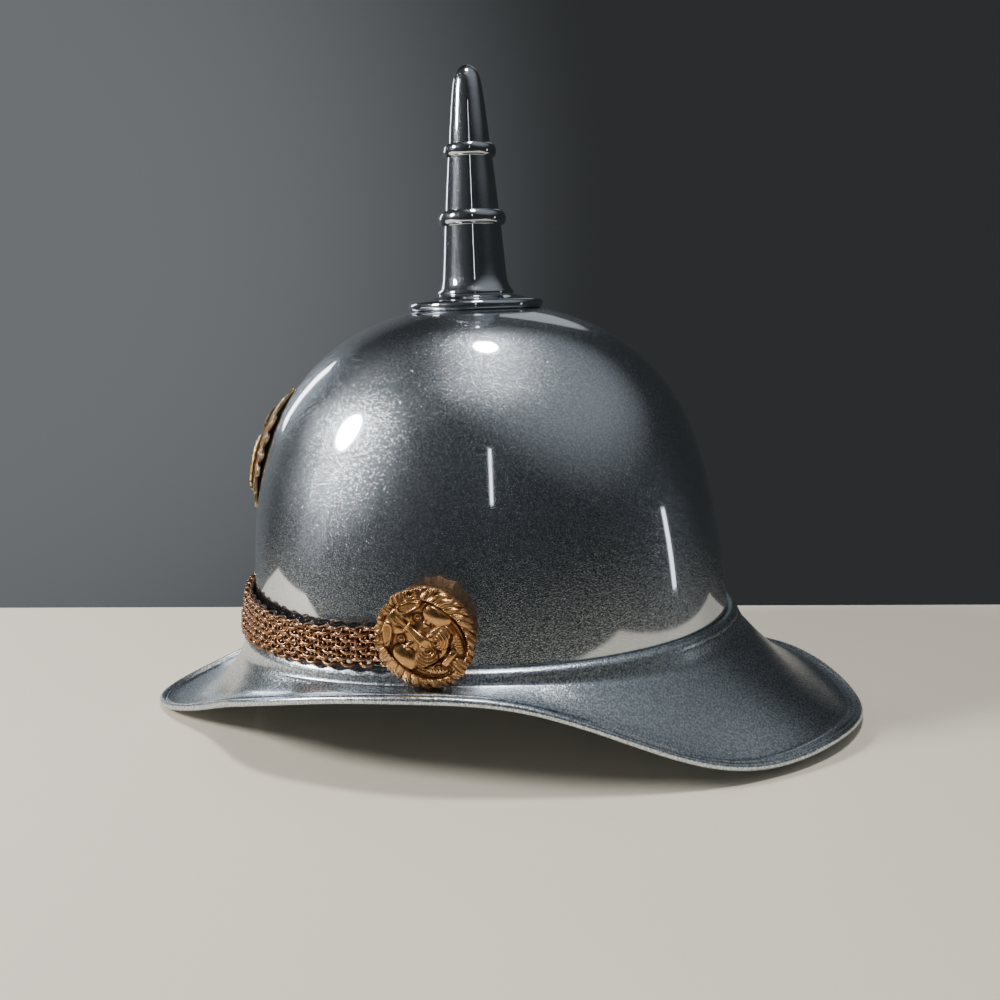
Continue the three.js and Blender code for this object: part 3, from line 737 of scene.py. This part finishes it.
for name, rings in (("chain_rows", row_mesh), ("chain_laces", lace_mesh)):
    spots = np.empty(len(rings.vertices) * 3)
    rings.vertices.foreach_get("co", spots)
    spots = (spots.reshape(-1, 3) * 1000 - SET_DOWN) @ np.array(tip_turn)
    depth = np.hypot(spots[:, 0], spots[:, 1]) - oval_reach(np.arctan2(spots[:, 1], spots[:, 0]), 0)
    from_front = np.arctan2(np.abs(spots[:, 1]) / DOME_HALF_WIDTH, -spots[:, 0] / DOME_HALF_LENGTH)
    leans = np.interp(from_front / math.radians(CHAIN_END_ANGLE), route[:, 0], route[:, 3])
    depth += leans * np.clip((spots[:, 2] - SHOULDER_TOP) / CHAIN_MAX_HEIGHT, 0, 1)
    # Painted shade: rings are darkened the deeper they lie towards the dome, behind the outer links.
    painted_shade = np.clip((GAP + 0.84 * CHAIN_THICKNESS - depth) / 2.2, 0, 1)
    rings.attributes.new("painted_shade", "FLOAT", "POINT").data.foreach_set("value", painted_shade)
    piece = bpy.data.objects.new(name, rings)
    bpy.context.scene.collection.objects.link(piece)
    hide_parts("chin_chain")
    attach(piece, "root")


# The bosses: a lion's head cast in brass on each side, holding the chain's ends, with a stud to the dome.
# Its face is rubbed smooth, and its mane is painted dark between the locks, as shade and grime in the
# recesses.
# The crown of each head is turned up and forward, and the right one is the left one's mirror image.

BOSS_HALF_WIDTH = 19.2
BOSS_HALF_HEIGHT = 20.6
BOSS_BACK = 2.2
BOSS_RELIEF = 6.6
BOSS_PLAN_ANGLE = math.radians(84.7)
BOSS_CENTRE_Z = 15.8
BOSS_POST_RADIUS = 3.6
CROWN_TURN = math.radians(51)
BOSS_AROUND = 480
BOSS_RINGS = 176


def spot(x, y, at, size, tilt=0.0, power=2.0):
    """How far a place is from a form's middle, 1 at its edge; a high power squares the form off."""
    t = math.radians(tilt)
    dx, dy = x - at[0], y - at[1]
    u = np.abs(dx * math.cos(t) + dy * math.sin(t)) / size[0]
    v = np.abs(dy * math.cos(t) - dx * math.sin(t)) / size[1]
    return (u ** power + v ** power) ** (1 / power)


def ball(distance, top, drop):
    """A round form: its height at the middle, and how far its skirt falls by the edge."""
    return top - drop * (1 - np.sqrt(np.clip(1 - 0.98 * np.minimum(distance, 1) ** 2, 0, None))) \
        - 6 * np.clip(distance - 1, 0, None)


def slab(distance, top, drop, soft):
    """A flat-topped form that falls off round its edge."""
    return top - drop / (1 + np.exp(np.clip((1 - distance) / soft, -40, 40)))


def line(distance, width):
    return np.exp(-np.minimum((distance / width) ** 2, 60))


def merged(base, form, blend):
    """The higher of two forms, their joint filled by a fillet."""
    gap = np.clip(0.5 + 0.5 * (form - base) / blend, 0, 1)
    return base * (1 - gap) + form * gap + blend * gap * (1 - gap)


def between(value, low, high):
    t = np.clip((value - low) / (high - low), 0, 1)
    return t * t * (3 - 2 * t)


def locks(r, sweep, count, phase, start, end, top):
    """A ring of comma-shaped locks of hair that lean with the sweep and taper to their tips."""
    turn = count * sweep / (2 * np.pi) + phase
    index = np.floor(turn)
    along = (r - start) / (end + 0.035 * np.sin(2.4 * index + phase) - start)
    across = turn - index - 0.5 + 0.16 * along
    width = 0.50 * np.sqrt(np.clip(1.02 - np.clip(along, 0, 1) ** 2.5, 0.002, None))
    ridge = ball(np.abs(across) / width, top, 1.35) + 0.13 * np.cos(2 * np.pi * across * 3)
    return ridge - 0.35 * np.clip(along, 0, 1) - 30 * np.clip(along - 1, 0, None)


def lion_relief(x, y):
    """The cast face in mm above its plate, upright, in shares of the boss's half-size."""
    r, a = np.hypot(x, y), np.arctan2(x, y)
    side = np.abs(x)
    bowl = 2.4 * np.sqrt(np.clip(1.05 - r * r, 0, None))
    head = spot(x, y, (0, 0.0), (0.69, 0.80), 0, 2.2)

    rise = bowl + 0.9 * (1 - np.minimum(head, 1) ** 2)
    rise -= 0.9 * np.clip(1 - spot(side, y, (0.26, 0.34), (0.30, 0.22), -10) ** 2, 0, 1)
    rise = merged(rise, ball(spot(x, y, (0, 0.58), (0.30, 0.26)), 4.2, 1.6), 0.5)
    brow = spot(side, y, (0.355, 0.605), (0.265, 0.120), -27, 2.8)
    rise = merged(rise, slab(brow, 4.9, 2.6, 0.07) - 0.42 * (1 - between(brow, 0.62, 0.80)), 0.25)
    eye = spot(side, y, (0.275, 0.335), (0.085, 0.080))
    rise = merged(rise, ball(eye, 3.35, 1.0) - 0.45 * line(eye - 0.58, 0.15), 0.12)
    rise -= 0.5 * line(eye - 1.12, 0.16)
    cheek = spot(side, y, (0.520, 0.075), (0.215, 0.285), 14, 2.1)
    rise = merged(rise, ball(cheek, 4.7, 2.6), 0.2)
    rise = merged(rise, ball(spot(side, y, (0.335, 0.155), (0.190, 0.078), 10), 4.1, 1.5), 0.30)
    rise -= 0.55 * line(cheek - 1.03, 0.05) * between(0.30 - y, 0, 0.1) * between(0.62 - side, 0, 0.08)
    for across, lean, top in ((0.045, -4, 4.6), (0.125, -20, 4.5)):
        furrow = spot(side, y, (across, 0.52), (0.026, 0.20), lean)
        rise = merged(rise, ball(furrow, top, 1.5), 0.15)
    rise -= 0.9 * line(spot(side, y, (0.085, 0.475), (0.045, 0.105), -10) / 0.9, 0.8)
    rise = merged(rise, ball(spot(x, y, (0, 0.385), (0.15, 0.028)), 4.3, 1.2), 0.15)
    down = between(0.36 - y, 0, 0.36)
    nose = side / (0.075 + 0.035 * down)
    bridge = 4.1 + 2.2 * down
    ridge = np.where(y > 0.36, bridge - 14 * (y - 0.36), bridge)
    ridge = np.where(y < 0.0, bridge - 16 * np.clip(-y, 0, None) ** 1.2, ridge)
    rise = merged(rise, slab(nose, 0, 3.4, 0.12) + ridge, 0.3)
    rise = merged(rise, ball(spot(side, y, (0.125, -0.055), (0.085, 0.080)), 5.3, 2.0), 0.3)
    pad = spot(side, y, (0.250, -0.225), (0.270, 0.215), -16, 2.2)
    rise = merged(rise, ball(pad, 4.9, 1.9) + 0.25 * line(pad - 0.93, 0.07), 0.25)
    eddy = np.hypot(side - 0.105, (y + 0.185) * 1.1)
    curl = np.arctan2(y + 0.185, side - 0.105)
    lined = between(-0.085 - y, 0, 0.06) * (1 - between(pad, 0.85, 1.05))
    rise += 0.24 * lined * np.cos(2 * np.pi * (eddy - 0.011 * curl) / 0.066)
    rise -= 1.0 * line(eddy, 0.030)
    rise = merged(rise, slab(spot(x, y, (0, -0.555), (0.20, 0.085), 0, 2.6), 4.3, 2.2, 0.16), 0.25)
    lip = y + 0.440 + 0.050 * np.cos(np.minimum(side, 0.36) * 8.7) - 0.45 * np.clip(side - 0.30, 0, 1)
    rise -= 1.3 * line(lip, 0.024) * (1 - between(side, 0.40, 0.50))
    rise -= 0.8 * line(x, 0.016) * between(-0.17 - y, 0, 0.04) * between(y + 0.40, 0, 0.04)
    droop = spot(side, y, (0.350, -0.50), (0.095, 0.24), -36, 2.2)
    whiskers = 0.16 * np.cos(2 * np.pi * (side * 0.81 + y * 0.59) / 0.055)
    rise = merged(rise, ball(droop, 4.0, 1.8) + whiskers, 0.2)

    wave = 0.5 * np.sin(3 * a + 1.1) + 0.35 * np.sin(7 * a + 0.4)
    fall = np.tanh(2.2 * np.sin(a)) * (0.45 + 0.55 * np.clip(0.6 - np.cos(a), 0, 1))
    sweep = a - 0.60 * (r - 0.70) * fall - 1.2 * (r - 0.70) ** 2 * fall + 0.05 * wave
    mane = bowl + 0.35
    mane = merged(mane, bowl + locks(r, sweep, 31, 0.45, 0.76, 1.04, 1.75), 0.12)
    mane = merged(mane, bowl + locks(r, sweep, 31, 0.0, 0.64, 0.93, 2.35), 0.12)
    inner = between(head, 0.97, 1.04)
    rise = rise * (1 - inner) + mane * inner
    rise -= 0.70 * line(head - 1.0, 0.030) * (0.35 + 0.65 * between(y, -0.75, -0.5))
    rise = merged(rise, bowl + 1.6 + 0 * x - 60 * np.abs(head - 0.955), 0.15)

    ear = np.hypot((side - 0.560) / 1.05, y - 0.715)
    arcs = 4.0 - 1.2 * (ear / 0.17) ** 2 + 0.32 * np.cos(2 * np.pi * ear / 0.058)
    arcs -= 1.2 * line(ear, 0.045)
    rise = merged(rise, arcs - 30 * np.clip(ear - 0.17, 0, None), 0.2)
    beard = spot(x, y, (0.0, -0.80), (0.165, 0.19), 0, 2.4)
    beard_lock = ball(beard, 4.1, 1.9) + 0.30 * np.cos(2 * np.pi * (x + 0.5 * x * (y + 0.8)) / 0.095)
    rise = merged(rise, beard_lock, 0.2)
    crown = spot(x, y, (0.0, 0.90), (0.085, 0.16), 0, 2.2)
    rise = merged(rise, ball(crown, 4.0, 1.9) + 0.25 * np.cos(2 * np.pi * x / 0.06), 0.2)
    return rise


def boss_points(side, shift, x, y, out):
    centre = np.array(on_ring(BOSS_PLAN_ANGLE, 0, BOSS_CENTRE_Z))
    ahead, behind = on_ring(BOSS_PLAN_ANGLE - 0.07, 0, 0.0), on_ring(BOSS_PLAN_ANGLE + 0.07, 0, 0.0)
    forward = np.array((ahead - behind).normalized())
    outward = np.array((forward[1], -forward[0], 0))
    points = centre + x[:, None] * forward + y[:, None] * (0, 0, 1) + (out + shift)[:, None] * outward
    return points * (1, side, 1)


def boss_outline(angles):
    oval = 1 / np.hypot(np.cos(angles) / BOSS_HALF_WIDTH, np.sin(angles) / BOSS_HALF_HEIGHT)
    turned_back = angles + CROWN_TURN
    uneven = 0.5 * np.sin(5 * turned_back + 0.7) + 0.3 * np.sin(11 * turned_back)
    lock = np.cos(17 * turned_back + 1.5 * uneven)
    return oval * (0.980 + 0.018 * lock + 0.006 * np.cos(62 * turned_back))


boss_brass = brass("boss_brass", (0.53, 0.29, 0.125, 1), (0.12, 0.058, 0.030, 1), 0.25, 1.5)
seat = CHAIN_THICKNESS + 2 * GAP


def boss_mesh(side, name, node):
    def upright(x, y):
        c, s = math.cos(CROWN_TURN), math.sin(CROWN_TURN)
        return (x * c - y * s) / BOSS_HALF_WIDTH, (x * s + y * c) / BOSS_HALF_HEIGHT

    def face(x, y):
        ux, uy = upright(x, y)
        r = np.hypot(ux, uy)
        rise = lion_relief(ux, uy) * np.clip((1.0 - r) / 0.03, 0, 1) ** 0.5
        return boss_points(side, BOSS_BACK - 1.2, x, y, seat + rise)

    def back(x, y):
        inner = np.hypot(x, y) < BOSS_POST_RADIUS * 1.02
        return boss_points(side, 0, x, y, np.where(inner, GAP, seat))

    shares = (0.985, 0.6, 0.19, 0.175)
    points, faces = patch(boss_outline, face, back, BOSS_AROUND, BOSS_RINGS, shares)
    piece = make_piece(name, node, "boss", boss_brass, points, faces, 75)
    # Painted shade and grime: points lying below their smoothed neighbours are darkened, and the back and
    # middle points are darkened too.
    grid = points[:BOSS_AROUND * BOSS_RINGS].reshape(BOSS_RINGS, BOSS_AROUND, 3)
    middle = boss_points(side, 0, np.zeros(1), np.zeros(1), np.zeros(1))
    level = np.abs((grid - middle) @ np.array((0, side, 0)))
    soft = level.copy()
    for _ in range(60):
        soft = (soft + np.roll(soft, 1, 1) + np.roll(soft, -1, 1)
                + np.vstack([soft[:1], soft[:-1]]) + np.vstack([soft[1:], soft[-1:]])) / 5
    painted_shade = np.clip((soft - level) * 1.7 + 0.10, 0, 1).ravel()
    values = np.full(len(points), 0.6)
    values[:len(painted_shade)] = painted_shade
    piece.data.attributes.new("painted_shade", "FLOAT", "POINT").data.foreach_set("value", values)
    return piece


boss_mesh(-1, "lion_left", "lion_boss_left")
boss_mesh(1, "lion_right", "lion_boss_right")


# The floor and the light: a pale table top in a dark studio with a few faint glows round it.
# A large soft lamp stands above the wearer's left and another overhead, with three narrow panes of light.

floor_mesh = bpy.data.meshes.new("floor")
table_top = [(-1.0, -0.30, 0), (0.385, -0.30, 0), (0.385, 0.150, 0), (-1.0, 0.150, 0)]
floor_mesh.from_pydata(table_top, [], [(0, 1, 2, 3)])
floor = bpy.data.objects.new("floor", floor_mesh)
bpy.context.scene.collection.objects.link(floor)
floor_paint, floor_place, floor_output = start_material("floor_paint")
matt = floor_place.node("ShaderNodeBsdfPrincipled", {}, {
    "Base Color": (0.90, 0.83, 0.70, 1), "Roughness": 0.8,
})
floor_place.tree.links.new(matt.socket, floor_output.inputs["Surface"])
floor_mesh.materials.append(floor_paint)

world = bpy.data.worlds.new("studio")
bpy.context.scene.world = world
world.use_nodes = True
ways = world.node_tree.nodes.new("ShaderNodeTexCoord")
way = Reading(world.node_tree, ways.outputs["Generated"])


def glow(direction, inner, outer):
    """1 within an angle of a direction, fading to 0 at a wider one."""
    aim = (np.array(direction) / np.linalg.norm(direction)).tolist()
    lined_up = way.node("ShaderNodeVectorMath", {"operation": "DOT_PRODUCT"}, {0: way, 1: aim}, 1)
    return lined_up.step(math.cos(math.radians(outer)), math.cos(math.radians(inner)))


window_glow = glow((-0.80, -0.38, 0.42), 8, 62)
side_glow = glow((-0.95, 0.25, 0.15), 10, 50)
top_glow = glow((0.48, -0.22, 0.85), 6, 50)
back_card = glow((0.10, 0.84, 0.54), 8, 11)
steepness = way.node("ShaderNodeSeparateXYZ", {}, {0: way}, 2)


def pillar(turn, inner, outer, low, high):
    """A soft upright bar of light at a turn from the camera's side, between two levels."""
    aside = math.radians(turn)
    flat = way.node("ShaderNodeVectorMath", {"operation": "MULTIPLY"}, {0: way, 1: (1, 1, 0)})
    flat = flat.node("ShaderNodeVectorMath", {"operation": "NORMALIZE"}, {0: flat})
    aim = (math.sin(aside), -math.cos(aside), 0)
    lined_up = flat.node("ShaderNodeVectorMath", {"operation": "DOT_PRODUCT"}, {0: flat, 1: aim}, 1)
    across = lined_up.step(math.cos(math.radians(outer)), math.cos(math.radians(inner)))
    return across * steepness.step(low - 0.05, low + 0.05) * (1 - steepness.step(high - 0.10, high + 0.10))


brightness = 0.034 + 0.12 * pillar(-76, 3, 12, 0.02, 0.42) + 0.05 * window_glow + 0.02 * side_glow
brightness += 0.30 * top_glow + 0.60 * back_card + 0.14 * glow((-0.55, 0.83, 0.08), 8, 36)
sky = brightness.mixed((0, 0, 0, 1), (0.88, 0.95, 1.0, 1))
world.node_tree.links.new(sky.socket, world.node_tree.nodes["Background"].inputs["Color"])


def lamp(name, direction, size, watts, colour=(1, 1, 1), distance=1.6, target=(0, 0, 0.12)):
    light = bpy.data.lights.new(name, "AREA")
    light.shape = "DISK"
    light.size = size
    light.energy = watts
    light.color = colour
    holder = bpy.data.objects.new(name, light)
    bpy.context.scene.collection.objects.link(holder)
    aim = np.array(direction, float) / np.linalg.norm(direction)
    holder.location = np.array(target) + aim * distance
    holder.rotation_euler = Vector(aim).to_track_quat("Z", "Y").to_euler()
    return holder


window = lamp("window", (-0.823, -0.280, 0.480), 0.30, 26, (1.0, 0.98, 0.95))
window.data.shape = "ELLIPSE"
window.data.size_y = 0.42
lamp("ceiling", (0.035, -0.19, 0.98), 0.28, 15, (1.0, 0.98, 0.95))
for name, turn, lift, width, height, watts in (
    ("left_pane", -132, 0.32, 0.14, 0.50, 2.2), ("thin_pane", 5, 0.39, 0.018, 0.42, 0.20),
    ("right_pane", 88, -0.03, 0.06, 0.30, 0.26),
):
    aside = math.radians(turn)
    pane = lamp(name, (math.sin(aside), -math.cos(aside), lift), 0.1, watts, (0.9, 0.95, 1.0), 1.4)
    pane.data.shape = "RECTANGLE"
    pane.data.size, pane.data.size_y = width, height

CAMERA_PLACE = (0.033220, -0.461096, 0.180020)
CAMERA_RIGHT = (0.9976, 0.0649, -0.0225)
CAMERA_UP = (0.0102, 0.1826, 0.9831)
FILM_WIDTH = 36
FOCAL_SHARE = 1.0255

camera_data = bpy.data.cameras.new("camera")
camera = bpy.data.objects.new("camera", camera_data)
bpy.context.scene.collection.objects.link(camera)
bpy.context.scene.camera = camera
camera_data.sensor_width = FILM_WIDTH
camera_data.lens = FILM_WIDTH * FOCAL_SHARE
right = np.array(CAMERA_RIGHT)
up = np.array(CAMERA_UP)
back = np.cross(right, up)
back /= np.linalg.norm(back)
up = np.cross(back, right)
right /= np.linalg.norm(right)
up /= np.linalg.norm(up)
matrix = np.eye(4)
matrix[:3, 0], matrix[:3, 1], matrix[:3, 2] = right, up, back
matrix[:3, 3] = CAMERA_PLACE
camera.matrix_world = Matrix(matrix.tolist())
